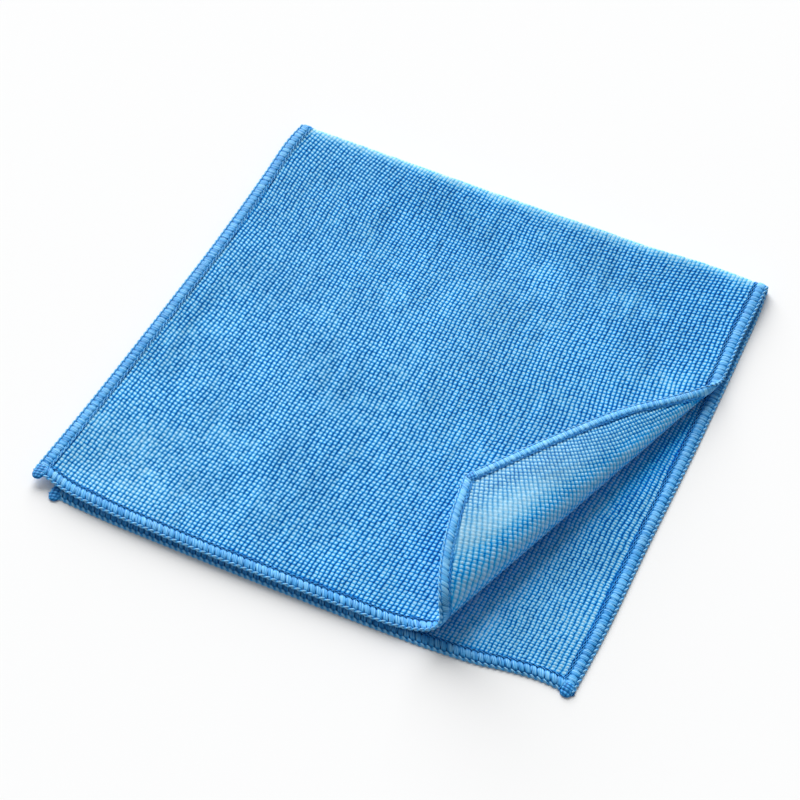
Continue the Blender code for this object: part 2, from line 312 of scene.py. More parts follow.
def resting_middle(x, d):
    """Middle of the cloth at (x, d) as it lies folded, before its corner is turned back."""
    reach = np.abs(d)
    theta = np.clip(d / FOLD_RADIUS, -1, 1) * math.pi / 2
    bow = fold_bow(x) * (1 - smooth_step(reach / FOLD_BOW_REACH))
    y = bow - np.where(reach > FOLD_RADIUS, reach, FOLD_RADIUS * (1 - np.cos(theta)))
    z = FIELD_THICKNESS / 2 + FOLD_RADIUS * (1 + np.sin(theta))
    to_side = np.minimum(x - left_edge(d), right_edge(d) - x)
    to_hem = np.minimum(to_side, upper_front(x) - d)
    hem_share = 1 - smooth_step((to_hem - HEM_WIDTH) / HEM_SETTLE)
    fold_share = 1 - smooth_step((d - FOLD_RADIUS) / FOLD_SETTLE)
    level = FIELD_LEVEL + (HEM_LEVEL - FIELD_LEVEL) * hem_share
    for at_x, at_d, half_x, half_d, height in SWELLS:
        far = ((x - at_x) / half_x) ** 2 + ((d - at_d) / half_d) ** 2
        level = level + height * np.exp(-far) * (1 - hem_share)
    level = level + (FOLD_TOP - level) * fold_share
    near_curl = smooth_step((fan_direction(x, d) - CURL_START) / CURL_BLEND + 1) * (d > CURL_APEX[1])
    level = level + (CURL_LEVEL - level) * near_curl
    z = np.where(d > FOLD_RADIUS, level, z)
    return np.stack([x, y, z], axis=-1)


def middle(x, d):
    """Middle of the cloth at (x, d), with its corner turned back."""
    point = resting_middle(x, d)
    out, forward = x - CURL_APEX[0], d - CURL_APEX[1]
    fan = np.arctan2(out, forward)
    curled = (forward > 0) & (fan > CURL_ANGLES[0])
    apex = np.array([CURL_APEX[0], -CURL_APEX[1], CURL_LEVEL])
    rolled = np.stack([np.interp(fan, CURL_ANGLES, CURL_DIRECTIONS[:, k]) for k in range(3)], axis=-1)
    return np.where(curled[..., None], apex + np.hypot(out, forward)[..., None] * rolled, point)


def on_cloth(x, d, lift):
    """Points in metres, lifted off the middle of the cloth towards the inside of the fold.

    What would sink below the surface that the cloth lies on is pressed flat."""
    x, d, lift = np.broadcast_arrays(np.asarray(x, float), np.asarray(d, float), np.asarray(lift, float))
    step = 0.02
    along_x = middle(x + step, d) - middle(x - step, d)
    along_d = middle(x, d + step) - middle(x, d - step)
    normal = np.cross(along_x, along_d)
    normal /= np.linalg.norm(normal, axis=-1, keepdims=True)
    point = middle(x, d)
    thickness = np.interp(edge_distance(x, d), HEM_OFFSETS, HEM_THICKNESSES)
    lying = 1 - smooth_step((d + FOLD_RADIUS) / (2 * FOLD_RADIUS))
    point[..., 2] += lying * (thickness - FIELD_THICKNESS) / 2
    point = point + normal * lift[..., None]
    point[..., :2] -= ORIGIN_FROM_FOLD
    point[..., 2] = np.maximum(point[..., 2], 0.0)
    return point * MM


tip = on_cloth(upper_right(240.0), 240.0, 0.0)
print("tip of the turned-back corner (mm):", np.round(tip / MM, 1))

# %% [markdown]
# ## Meshes from arrays
#
# One cloth has tens of thousands of stitches, so each piece is one mesh made from numpy
# arrays. Its points also keep values for the materials. All keep their place in the flat
# cloth, in metres, so that a pattern keeps its real size. The knit's points also keep
# which stitch they are on, how deep the grooves are there, and the tone, which holds
# painted light and shade as well. Those of the thread keep their relief, 1 on a strand and
# 0 deep between strands, and the thread's colour darkens with it, as painted shade.

# %% Repeatable chance
SCATTER_FACTORS = (127.1, 311.7, 74.7)     # any uneven numbers do here
SCATTER_SIZE = 43758.5453


def scatter(u, v, seed):
    """A repeatable random number from 0 to 1 for each pair of whole numbers."""
    by_u, by_v, by_seed = SCATTER_FACTORS
    mixed = np.sin(u * by_u + v * by_v + seed * by_seed) * SCATTER_SIZE
    return mixed - np.floor(mixed)


def soft_noise(u, v, cell, seed):
    """Smooth noise from -1 to 1, whose lumps are about one cell across."""
    u, v = u / cell, v / cell
    i, j = np.floor(u), np.floor(v)
    a, b = smooth_step(u - i), smooth_step(v - j)
    near = scatter(i, j, seed) * (1 - a) + scatter(i + 1, j, seed) * a
    far = scatter(i, j + 1, seed) * (1 - a) + scatter(i + 1, j + 1, seed) * a
    return 2 * (near * (1 - b) + far * b) - 1


print("chance at (0, 0) and (1, 0):", [round(float(scatter(k, 0, 1)), 3) for k in (0, 1)])

# %% Helpers that make a mesh piece
UV_MARGIN = 0.002              # keeps the baked picture's edge clear


def drop_unused(points, faces, *values):
    """Leaves out the points that no face uses."""
    used = np.unique(faces)
    number = np.full(len(points), -1)
    number[used] = np.arange(len(used))
    return points[used], number[faces], [value[used] for value in values]


def mesh_piece(name, points, faces, kept, bake_uv, material):
    """A piece from arrays: points in metres, four-sided faces, and named values for each point."""
    data = bpy.data.meshes.new(name)
    data.vertices.add(len(points))
    data.vertices.foreach_set("co", points.astype(np.float32).ravel())
    data.loops.add(faces.size)
    data.loops.foreach_set("vertex_index", faces.astype(np.int32).ravel())
    data.polygons.add(len(faces))
    data.polygons.foreach_set("loop_start", np.arange(0, faces.size, 4, dtype=np.int32))
    data.update(calc_edges=True)
    data.shade_smooth()
    for kind, values in kept.items():
        form, field = ("FLOAT", "value") if values.ndim == 1 else ("FLOAT_VECTOR", "vector")
        attribute = data.attributes.new(kind, form, "POINT")
        attribute.data.foreach_set(field, values.astype(np.float32).ravel())
    layer = data.uv_layers.new(name="OFBake")
    inset = bake_uv * (1 - 2 * UV_MARGIN) + UV_MARGIN
    layer.data.foreach_set("uv", inset.astype(np.float32).ravel())
    data.materials.append(material)
    data.validate()
    piece = bpy.data.objects.new(name, data)
    bpy.context.scene.collection.objects.link(piece)
    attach(piece, "root")
    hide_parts("cloth")
    print(name, "has", len(faces) * 2, "triangles")
    return piece


# %% [markdown]
# ## Knit: split-fibre microfibre
#
# The yarn is polyester and polyamide in one filament, split so fine that it scatters
# light like velvet. The pearl stitches stand up as small round pads, and the colour
# follows their relief: pale on top, partly the fibre ends' own paleness and partly a
# painted highlight, and deep blue in the gaps, partly the dyed yarn and partly painted
# shade. With that go a slow change of tone across the cloth and fine fibre grain on each
# pearl.

# %% Colours, and one helper that adds a node


def srgb(code):
    """A linear colour from a hex code such as 5FB3F0, by the sRGB standard's own curve."""
    parts = [int(code[k:k + 2], 16) / 255 for k in (0, 2, 4)]
    return [c / 12.92 if c <= 0.04045 else ((c + 0.055) / 1.055) ** 2.4 for c in parts] + [1.0]


def add_node(tree, kind, settings=None, links=None):
    """Adds a node, sets its values and properties, and links its inputs."""
    node = tree.nodes.new(kind)
    for key, value in (settings or {}).items():
        if isinstance(key, int) or key in node.inputs:
            node.inputs[key].default_value = value
        else:
            setattr(node, key, value)
    for key, source in (links or {}).items():
        tree.links.new(source, node.inputs[key])
    return node


def colour_stops(ramp, stops):
    """Sets a colour ramp's stops: position, hex code."""
    elements = ramp.color_ramp.elements
    while len(elements) < len(stops):
        elements.new(0.5)
    for element, (position, code) in zip(elements, stops):
        element.position = position
        element.color = srgb(code)


# %% Colours and sizes of the pearls
# Distance from the middle of a pearl, over PEARL_REACH, and the colour there: the palest
# blues are partly a painted highlight, and the darkest partly painted shade in the gaps
PEARL_STOPS = (
    (0.0, "C0E6FC"),
    (0.16, "A4DAF8"),
    (0.32, "7CC8F2"),
    (0.46, "38A6E6"),
    (0.58, "0078CC"),
    (0.70, "004EA2"),
    (0.86, "002C66"),
)
PEARL_REACH = 1.4              # the corner of a stitch, where four pearls meet
PEARL_SQUARENESS = 2.8         # 2 is a round pearl, more is squarer
PEARL_STRAY = 0.12             # how far a pearl lies off the middle of its stitch
PEARL_SIZES = 0.12             # how much one pearl is larger than the next
PEARL_HEIGHT_MM = 0.45         # the part of its height that the mesh is too coarse for
HEIGHT_FALL = (0.15, 1.2)      # distances from its middle between which its height falls
GLOSS_FALL = (0.2, 0.75)       # and its gloss
TOP_ROUGHNESS = 0.5            # a pearl's top is nearly satin, and the grooves are dull
FIBRE_MM = 0.3                 # tufts of fibre; a single one, under 0.01 mm thick, is too fine to draw
RAGGEDNESS = 0.3               # how much they break up a pearl's edge
TONE_PATCH_MM = 38.0           # slow change of tone
STREAK_MM = (5.0, 60.0)        # streaks along the columns: width, length
TONE_CHANGE = 0.18             # how much paler or darker the two make the knit
NOISE_RANGE = (0.3, 0.7)       # nearly all of a noise lies between these
FULL_DEPTH = 1.2               # a depth of colour from which the hue is as much bluer as it gets; the depth changes only with painted light and shade
BLUER = 0.015
KNIT_IOR = 1.53                # polyester and polyamide
KNIT_SPECULAR = 0.12           # the split fibre scatters nearly all that a smooth film would mirror


print("a pearl has", len(PEARL_STOPS), "blues, from its top to the gap beside it")

# %% Helpers for patterns of a real size


def patches(tree, place, size_mm, detail):
    """Noise with lumps of a real size: (along x, along d) in millimetres."""
    scale = [1 / (mm * MM) for mm in size_mm] + [1 / (size_mm[0] * MM)]
    sized = add_node(tree, "ShaderNodeVectorMath", {"operation": "MULTIPLY", 1: scale}, {0: place})
    return add_node(tree, "ShaderNodeTexNoise", {"Scale": 1.0, "Detail": detail, "Roughness": 0.5},
                    {"Vector": sized.outputs[0]}).outputs["Fac"]


def from_pearl_middle(tree, stitch, grooves):
    """Distance from the middle of the nearest pearl: 0 there, 1 in a groove, more at a crossing."""
    cell = add_node(tree, "ShaderNodeVectorMath", {"operation": "FLOOR"}, {0: stitch}).outputs[0]
    chance = add_node(tree, "ShaderNodeTexWhiteNoise", {"noise_dimensions": "2D"}, {"Vector": cell})
    stray = add_node(tree, "ShaderNodeVectorMath",
                     {"operation": "MULTIPLY_ADD", 1: [PEARL_STRAY] * 3, 2: [-0.5 - PEARL_STRAY / 2] * 3},
                     {0: chance.outputs["Color"]}).outputs[0]
    part = add_node(tree, "ShaderNodeVectorMath", {"operation": "FRACTION"}, {0: stitch}).outputs[0]
    off = add_node(tree, "ShaderNodeVectorMath", {"operation": "ADD"}, {0: part, 1: stray}).outputs[0]
    off = add_node(tree, "ShaderNodeVectorMath", {"operation": "ABSOLUTE"}, {0: off}).outputs[0]
    off = add_node(tree, "ShaderNodeVectorMath", {"operation": "MULTIPLY"}, {0: off, 1: grooves}).outputs[0]
    off = add_node(tree, "ShaderNodeVectorMath", {"operation": "SCALE", "Scale": 2.0}, {0: off}).outputs[0]
    sides = add_node(tree, "ShaderNodeSeparateXYZ", links={0: off})
    across, along = (add_node(tree, "ShaderNodeMath", {"operation": "POWER", 1: PEARL_SQUARENESS},
                              {0: sides.outputs[k]}).outputs[0] for k in range(2))
    both = add_node(tree, "ShaderNodeMath", {"operation": "ADD"}, {0: across, 1: along}).outputs[0]
    distance = add_node(tree, "ShaderNodeMath", {"operation": "POWER", 1: 1 / PEARL_SQUARENESS}, {0: both})
    return distance.outputs[0], chance.outputs["Value"]


# %% Material of the knit


def split_fibre_knit():
    """Its colour, height and gloss all follow the distance from the middle of a pearl."""
    material = bpy.data.materials.new("split_fibre_polyester_polyamide_knit")
    material.use_nodes = True
    tree = material.node_tree
    shader = tree.nodes["Principled BSDF"]
    place, stitch, grooves, tone = (
        add_node(tree, "ShaderNodeAttribute", {"attribute_name": name}).outputs["Vector"]
        for name in ("flat", "stitch", "grooves", "tone"))
    tones = add_node(tree, "ShaderNodeSeparateXYZ", links={0: tone})
    shift, depth = tones.outputs[0], tones.outputs[1]
    distance, chance = from_pearl_middle(tree, stitch, grooves)
    fibre = patches(tree, place, (FIBRE_MM, FIBRE_MM), 3.0)
    for value, share in ((shift, 1.0), (fibre, RAGGEDNESS), (chance, PEARL_SIZES)):
        distance = add_node(tree, "ShaderNodeMath", {"operation": "MULTIPLY_ADD", 1: share},
                            {0: value, 2: distance}).outputs[0]
    half_spread = (RAGGEDNESS + PEARL_SIZES) / 2
    distance = add_node(tree, "ShaderNodeMath", {"operation": "SUBTRACT", 1: half_spread},
                        {0: distance}).outputs[0]
    share = add_node(tree, "ShaderNodeMath", {"operation": "DIVIDE", 1: PEARL_REACH}, {0: distance})
    ramp = add_node(tree, "ShaderNodeValToRGB", links={"Fac": share.outputs[0]})
    colour_stops(ramp, PEARL_STOPS)
    patch = patches(tree, place, (TONE_PATCH_MM, TONE_PATCH_MM), 2.0)
    streak = patches(tree, place, STREAK_MM, 2.0)
    both = add_node(tree, "ShaderNodeMath", {"operation": "ADD"}, {0: patch, 1: streak}).outputs[0]
    paler = add_node(tree, "ShaderNodeMapRange",
                     {"From Min": 2 * NOISE_RANGE[0], "From Max": 2 * NOISE_RANGE[1],
                      "To Min": 1 - TONE_CHANGE, "To Max": 1 + TONE_CHANGE}, {"Value": both}).outputs[0]
    # Painted shade colour: where the depth of colour is raised, the knit is painted fuller and bluer
    bluer = add_node(tree, "ShaderNodeMapRange",
                     {"From Min": 1.0, "From Max": FULL_DEPTH, "To Min": 0.5, "To Max": 0.5 + BLUER},
                     {"Value": depth}).outputs[0]
    toned = add_node(tree, "ShaderNodeHueSaturation",
                     links={"Color": ramp.outputs[0], "Value": paler, "Saturation": depth, "Hue": bluer})
    tree.links.new(toned.outputs[0], shader.inputs["Base Color"])
    height = add_node(tree, "ShaderNodeMapRange",
                      {"interpolation_type": "SMOOTHSTEP", "From Min": HEIGHT_FALL[0],
                       "From Max": HEIGHT_FALL[1], "To Min": 1.0, "To Max": 0.0},
                      {"Value": distance}).outputs[0]
    bump = add_node(tree, "ShaderNodeBump", {"Strength": 1.0, "Distance": PEARL_HEIGHT_MM * MM},
                    {"Height": height})
    tree.links.new(bump.outputs[0], shader.inputs["Normal"])
    gloss = add_node(tree, "ShaderNodeMapRange",
                     {"From Min": GLOSS_FALL[0], "From Max": GLOSS_FALL[1], "To Min": TOP_ROUGHNESS,
                      "To Max": 1.0}, {"Value": distance}).outputs[0]
    tree.links.new(gloss, shader.inputs["Roughness"])
    shader.inputs["Metallic"].default_value = 0.0
    shader.inputs["IOR"].default_value = KNIT_IOR
    shader.inputs["Specular IOR Level"].default_value = KNIT_SPECULAR
    return material


knit_material = split_fibre_knit()
print("made", knit_material.name)

# %% [markdown]
# ## The knit itself
#
# The pearls stand in 118 columns that follow the side hems, about 2.45 mm apart, and in
# rows across the cloth, 2.3 mm apart on the upper layer and 2.05 mm on the lower one. The
# rows are bowed, as in most knits that come off a round machine. Each piece is a grid with
# lines in the grooves between pearls, so the grooves stay crisp with few triangles. Where
# the grid meets the hem, its last points slide onto the hem line.

# %% Where each stitch lies in the flat cloth
ROW_MM = 2.3
LOWER_ROW_MM = 2.05            # the lower layer's rows lie closer together
COLUMN_COUNT = 118
KNIT_START = 7.6               # the first column stands this far from the edge
KNIT_END = 5.0                 # the flat ground goes this near the edge, under the overlock
# How much wider the lower layer's last columns are, at the right, and where that sets in
EDGE_WIDENING = 0.35
WIDENING_FROM = 120.0
WIDENING_OVER = 80.0
WIDENING_POWER = 12            # high, so that it is kept to the last columns
# Distance from the fold at mid-width, how far the rows' ends lag behind their middle
ROW_BOW = ((-292, -6.5), (0, 20.0), (150, 13.0), (292, 6.5))
row_bow = soft_curve(ROW_BOW, 1)


def stitch_place(u, v):
    """Flat coordinates of column u and row v; rows below zero are on the lower layer."""
    share = u / COLUMN_COUNT
    d = v * np.where(v < 0, LOWER_ROW_MM, ROW_MM)
    d = d - row_bow(d) * (2 * share - 1) ** 2
    left = left_edge(d) + KNIT_START
    right = right_edge(d) - KNIT_START
    wider = EDGE_WIDENING * smooth_step((-d - WIDENING_FROM) / WIDENING_OVER)
    share = share - wider * np.clip(share, 0, 1) ** WIDENING_POWER * (1 - share)
    return left + (right - left) * share, d


first, second = (stitch_place(np.array(float(k)), np.array(60.0))[0] for k in (59, 60))
print("columns are", round(float(second - first), 2), "mm apart at mid-width")

# %% How the lines of the knit stray, and how high it stands
WAVER = ((21, 0.48), (7, 0.22), (1, 0.09))       # lumps this many stitches long, and how far they stray
HEIGHTS = (0.93, 0.07, 0.05)   # the mean, and how far one pearl and one patch of them differ from it
HEIGHT_PATCH = 9               # stitches
COLUMN_SEED, ROW_SEED, HEIGHT_SEED, UNEVEN_SEED, OVERLOCK_SEED = 11, 31, 5, 41, 60


def waver(u, v, seed):
    """How far the knit's lines stray, in stitches."""
    return sum(far * soft_noise(u, v, cell, seed + k) for k, (cell, far) in enumerate(WAVER))


def pearl_relief(u, v, column_groove, row_groove):
    """Height of the knit, 0 in a groove and about 1 on a pearl."""
    across = np.cos(np.pi * u) ** 2
    along = np.cos(np.pi * v) ** 2
    height = (1 - column_groove * across) * (1 - row_groove * along)
    mean, by_pearl, by_patch = HEIGHTS
    return height * (mean + by_pearl * soft_noise(u, v, 1, HEIGHT_SEED)
                     + by_patch * soft_noise(u, v, HEIGHT_PATCH, HEIGHT_SEED + 1))


def slide_to_hem(x, d, end):
    """Moves the points that lie too near the edge back onto the line at that distance."""
    probe, least_slope = 0.05, 0.2
    for _ in range(3):
        near = edge_distance(x, d)
        slope_x = (edge_distance(x + probe, d) - edge_distance(x - probe, d)) / (2 * probe)
        slope_d = (edge_distance(x, d + probe) - edge_distance(x, d - probe)) / (2 * probe)
        push = np.maximum(end - near, 0) / np.maximum(slope_x ** 2 + slope_d ** 2, least_slope)
        x, d = x + push * slope_x, d + push * slope_d
    return x, d


# %% Helper that makes one face of the knit
GROOVE_LIFT = 0.15             # floor of the grooves and top of the pearls, from the middle of the cloth
PEARL_LIFT = 0.95
PEARL_FADE = (0.4, 0.7)        # the pearls set in this far outside KNIT_START, and over this far
# The ground between the hem and the first pearls: its height, and a shift as dark as a groove's, partly
# painted shade in the trench beside the hem
PLAIN_GROUND = (0.15, 0.62)
LEFT_GROUND = (0.5, 0.30)      # beside the left hem, where the light falls, it stands higher and is painted paler, as painted light, so that no dark line shows
LEFT_FADE = (16.0, 8.0)        # up to this far from the left edge, and over this far
# On the turned-back corner the ground stands higher and is painted paler in the same way, as painted light
CORNER_GROUND = (0.5, 0.30)
ABOVE_ZERO = 500.0             # keeps the numbers of the stitches above zero
FACE_APART = 50.0              # keeps the patterns of the two faces apart, in millimetres


def knit_piece(name, side, columns, rows, samples, wanted, place, grooves, ground):
    """One face of the knit; side is 1 for the face inside the fold and -1 for the outer one.

    The grooves are how deep they are across and along, a shift, above 0 where pearls are darker,
    and the depth of colour, above 1 where it is fuller."""
    u_line = np.arange(columns[0] * samples, columns[1] * samples + 1) / samples
    v_line = np.arange(rows[0] * samples, rows[1] * samples + 1) / samples
    u, v = np.meshgrid(u_line, v_line)
    x, d = place(u + waver(u, v, COLUMN_SEED), v + waver(u, v, ROW_SEED))
    near = edge_distance(x, d) / hem_scale(x, d)
    # The shift and the depth of colour carry painted light and shade, as well as the knit's own tone
    column_groove, row_groove, shift, depth = grooves(u, v, x, d)
    pearled = smooth_step((near - KNIT_START + PEARL_FADE[0]) / PEARL_FADE[1])
    # Beside the left hem the ground is painted paler, as painted light
    beside_left = smooth_step((LEFT_FADE[0] - x + left_edge(d)) / LEFT_FADE[1])
    low, dark = (ground[k] + (LEFT_GROUND[k] - ground[k]) * beside_left for k in range(2))
    relief = pearl_relief(u, v, column_groove, row_groove) * pearled + low * (1 - pearled)
    shift = shift + dark * (1 - pearled)
    keep = (near > KNIT_END) & wanted(x, d)
    x, d = slide_to_hem(x, d, KNIT_END * hem_scale(x, d))
    width, height = len(u_line), len(v_line)
    number = np.arange(width * height).reshape(height, width)
    corners = [(0, 0), (0, 1), (1, 1), (1, 0)]
    quads = np.stack([number[a:height - 1 + a, b:width - 1 + b] for a, b in corners], axis=-1)
    kept = np.stack([keep[a:height - 1 + a, b:width - 1 + b] for a, b in corners], axis=-1).any(axis=-1)
    faces = quads[kept]
    if side > 0:
        faces = faces[:, ::-1]
    lift = side * (GROOVE_LIFT + (PEARL_LIFT - GROOVE_LIFT) * relief)
    points = on_cloth(x, d, lift).reshape(-1, 3)
    none = np.zeros_like(x)
    values = {
        "flat": np.stack([x * MM, d * MM, none + side * FACE_APART * MM], axis=-1).reshape(-1, 3),
        "stitch": np.stack([u + ABOVE_ZERO, v + ABOVE_ZERO, none], axis=-1).reshape(-1, 3),
        "grooves": np.stack([column_groove, row_groove, none], axis=-1).reshape(-1, 3),
        "tone": np.stack([shift, depth, none], axis=-1).reshape(-1, 3),
    }
    spots = np.stack([x, d], axis=-1).reshape(-1, 2)
    points, faces, (spots, *kept_values) = drop_unused(points, faces, spots, *values.values())
    span_x, span_d = np.ptp(spots, axis=0)
    uv = ((spots - spots.min(axis=0)) / (span_x, span_d))[faces]
    piece = mesh_piece(name, points, faces, dict(zip(values, kept_values)), uv, knit_material)
    first, second, third, fourth = (spots[faces[:, k]] for k in range(4))
    one, other = third - first, fourth - second       # the two diagonals of each face
    area = np.abs(one[:, 0] * other[:, 1] - one[:, 1] * other[:, 0]).sum() / 2
    return piece, (span_x * MM, span_d * MM), area * MM * MM


# %% Ribs of the turned-back corner
CORNER_FAN = (292.5, 133.0)    # where its ribs would meet, in the flat cloth
CORNER_FAN_MM = 190.0
CORNER_TWIST = math.radians(30)
CORNER_PEARL_MM = 2.25
CORNER_RIB_MM = 2.5


def corner_place(u, v):
    """The knit of the turned-back corner runs askew to its hems, in ribs that fan out."""
    angle = v * CORNER_RIB_MM / CORNER_FAN_MM + CORNER_TWIST
    reach = CORNER_FAN_MM - u * CORNER_PEARL_MM
    return CORNER_FAN[0] - reach * np.cos(angle), CORNER_FAN[1] + reach * np.sin(angle)


def from_apex(x, d):
    """Distance from the point from which the roll fans out."""
    return np.hypot(x - CURL_APEX[0], d - CURL_APEX[1])


print("a rib starts", round(float(from_apex(*corner_place(0.0, 0.0)))), "mm from the roll's apex")

# %% [markdown]
# ## Grooves, tones, and painted light and shade
#
# The knit's tone changes from place to place, a little of it its own and most of it
# painted light and shade: paler where more light falls, darker towards the fold and
# beside the turned-back corner's hem, and paler and a fuller blue in the roll's shade. Over
# the fold and the roll the knit is stretched and its grooves close up. All of these are
# given by formulas in the flat cloth, which return how deep the grooves are across and
# along, a shift, above 0 where pearls are darker, and a depth of colour, above 1 where it
# is fuller, which changes only with painted light and shade.

# %% The plain knit of both layers
PLAIN_GROOVES = (0.97, 0.84)
UNEVEN_CELLS = (3, 11)         # stitches in a small and in a large patch of uneven knit
UNEVEN = (0.10, 0.30)          # how much shallower the grooves can be there, across and along
ROWS_UNEVEN_FROM = 0.2
OVER_FOLD = (2.0, 4.0)         # distance from the fold, and reach
OVER_FOLD_FLATTER = 0.35
OVER_FOLD_PALER = 0.05
# Slow changes of tone: x, d, reach, shift. The paler front-left corner is painted light,
# the darker places by the fold and the two beside the turned-back corner's hem are painted
# shade, and the other two places are only a little paler
PAINTED_LIGHT_AND_TONE = (
    (-125, 288, 50, -0.11),
    (120, 24, 60, 0.06),
    (-30, 8, 60, 0.06),
    (15, 85, 50, -0.03),
    (57, 212, 14, 0.10),
    (60, 242, 14, 0.10),
    (128, -268, 36, -0.05),
)


def plain_grooves(u, v, x, d):
    """Depth across and along, shift and depth of colour on both layers."""
    small, large = (soft_noise(u, v, cell, UNEVEN_SEED + k) for k, cell in enumerate(UNEVEN_CELLS))
    patch = (small + large) / 2
    over_fold = soft_peak(d, *OVER_FOLD)
    across = PLAIN_GROOVES[0] - UNEVEN[0] * np.maximum(-patch, 0) - OVER_FOLD_FLATTER * over_fold
    along = (PLAIN_GROOVES[1] + UNEVEN[1] * np.minimum(patch + ROWS_UNEVEN_FROM, 0)
             - OVER_FOLD_FLATTER * over_fold)
    painted_light_and_tone = sum(change * soft_peak(x, at_x, reach) * soft_peak(d, at_d, reach)
                  for at_x, at_d, reach, change in PAINTED_LIGHT_AND_TONE)
    return across, along, painted_light_and_tone - OVER_FOLD_PALER * over_fold, np.ones_like(d)


print("stroked in", len(PAINTED_LIGHT_AND_TONE), "places")

# %% Tones of the lower layer where it shows, mostly painted light and shade
NEAR_APEX = (100.0, 80.0)      # up to this far from the apex, and fading over this far
# Directions of the fan, in degrees: from, to, fade, how much further it reaches near the apex
BESIDE_ROLL = (-30.0, -17.0, 5.0, 4.0)
# Direction and reach
UNDER_APEX = (-14.0, 3.0)
BESIDE_HEM = (-4.0, 4.0)
# Shift, and change in the depth of colour: beside the roll, where its shade falls, painted
# paler and a fuller blue as painted light; under the apex painted darker as painted shade;
# beside the hem a little paler
BESIDE_ROLL_PAINTED_LIGHT = (-0.33, 0.3)
UNDER_APEX_PAINTED_SHADE = (0.28, 0.1)
BESIDE_HEM_TONE = (-0.06, 0.0)


def close_to_apex(x, d):
    """1 near the point from which the roll fans out, and 0 away from it."""
    return 1 - smooth_step((from_apex(x, d) - NEAR_APEX[0]) / NEAR_APEX[1])


def add_tones(shift, depth, tones):
    """Adds each tone as far as its share reaches."""
    for share, (darker, fuller) in tones:
        shift, depth = shift + darker * share, depth + fuller * share
    return shift, depth


def painted_shade_grooves(u, v, x, d):
    """The same for the lower layer, with light and shade painted in beside the roll and its apex."""
    across, along, shift, depth = plain_grooves(u, v, x, d)
    fan, near_apex = fan_direction(x, -d), close_to_apex(x, -d)
    start, end, fade, wider = BESIDE_ROLL
    beside_roll = smooth_step((fan - start) / fade)
    beside_roll = beside_roll * (1 - smooth_step((fan - end - wider * near_apex) / fade))
    under_apex = near_apex * soft_peak(fan, *UNDER_APEX)
    beside_hem = soft_peak(fan, *BESIDE_HEM)
    tones = ((beside_roll, BESIDE_ROLL_PAINTED_LIGHT), (under_apex, UNDER_APEX_PAINTED_SHADE), (beside_hem, BESIDE_HEM_TONE))
    return across, along, *add_tones(shift, depth, tones)


# %% Grooves of the turned-back corner, and its tones, mostly painted light and shade
RIBBED_GROOVES = (0.86, 0.88)
COMBED_AT = (-10.2, 212.0)     # where its ribs are combed smooth: direction, and distance from the apex
COMBED_REACH = (3.0, 50.0)
COMBED_FLATTER = (0.62, 0.40)
RIM = (-15.4, 1.8)             # where it is pressed smooth over the roll: direction, and reach
RIM_SHARE = 0.7                # how smooth that is beside the combed ribs
# Direction where a tone sets in or fades, and over how many degrees
OVER_ROLL = (-15.5, 4.0)
PAST_ROLL = (-13.0, 3.0)
NEAR_HEM = (-6.0, 3.0)
# Shift, and change in the depth of colour. The whole corner is a little paler, partly as
# its own face and partly as painted light. Over the roll, where its shade falls, it is
# painted paler and a fuller blue, past the roll a little less full and near the hem paler,
# as painted light, and near the apex darker, as painted shade
CORNER_FACE_AND_PAINTED_LIGHT = (-0.05, 0.0)
COMBED_TONE = (0.14, 0.0)
OVER_ROLL_PAINTED_LIGHT = (-0.11, 0.28)
PAST_ROLL_PAINTED_LIGHT = (0.0, -0.07)
NEAR_HEM_PAINTED_LIGHT = (-0.13, 0.0)
NEAR_APEX_PAINTED_SHADE = (0.04, 0.0)


def ribbed_grooves(u, v, x, d):
    """The same for the turned-back corner, with light and shade painted in."""
    fan, near_apex = fan_direction(x, d), close_to_apex(x, d)
    combed = (soft_peak(fan, COMBED_AT[0], COMBED_REACH[0])
              * soft_peak(from_apex(x, d), COMBED_AT[1], COMBED_REACH[1]))
    smooth = np.maximum(combed, RIM_SHARE * soft_peak(fan, *RIM))
    over_roll, past_roll, near_hem = (
        smooth_step((fan - start) / fade) for start, fade in (OVER_ROLL, PAST_ROLL, NEAR_HEM))
    tones = ((1, CORNER_FACE_AND_PAINTED_LIGHT), (combed, COMBED_TONE), (1 - over_roll, OVER_ROLL_PAINTED_LIGHT),
             (past_roll * (1 - near_apex), PAST_ROLL_PAINTED_LIGHT), (near_hem, NEAR_HEM_PAINTED_LIGHT),
             (near_apex, NEAR_APEX_PAINTED_SHADE))
    across, along = (RIBBED_GROOVES[k] - COMBED_FLATTER[k] * smooth for k in range(2))
    return across, along, *add_tones(0.0, 1.0, tones)


# %% Where each face of the knit lies
FOLD_SEAM = -3.0               # the outer face is parted here, just under the fold
CORNER_MARGIN = 4.0            # degrees of the fan before the roll
LOWER_SHOWN_MARGIN = 10.0


def in_upper_face(x, d):
    return d > FOLD_SEAM


def in_underside(x, d):
    return d < FOLD_SEAM


def in_turned_corner(x, d):
    return (d > CURL_APEX[1]) & (fan_direction(x, d) > CURL_START - CORNER_MARGIN)


def lower_face_shows(x, d):
    return (d < 0) & (fan_direction(x, -d) > CURL_START - LOWER_SHOWN_MARGIN) & (-d > CURL_APEX[1])


def stays_inside(x, d):
    return ~lower_face_shows(x, d) & ~in_turned_corner(x, d)


print("the tip is on the turned-back corner:", bool(in_turned_corner(upper_right(240.0), 240.0)))

# %% Faces of the knit
# The hidden faces have one point to a stitch, and those that show have three or four
LEFT_COLUMNS, RIGHT_COLUMNS, ALL_COLUMNS = (-2, 59), (59, 120), (-2, 120)
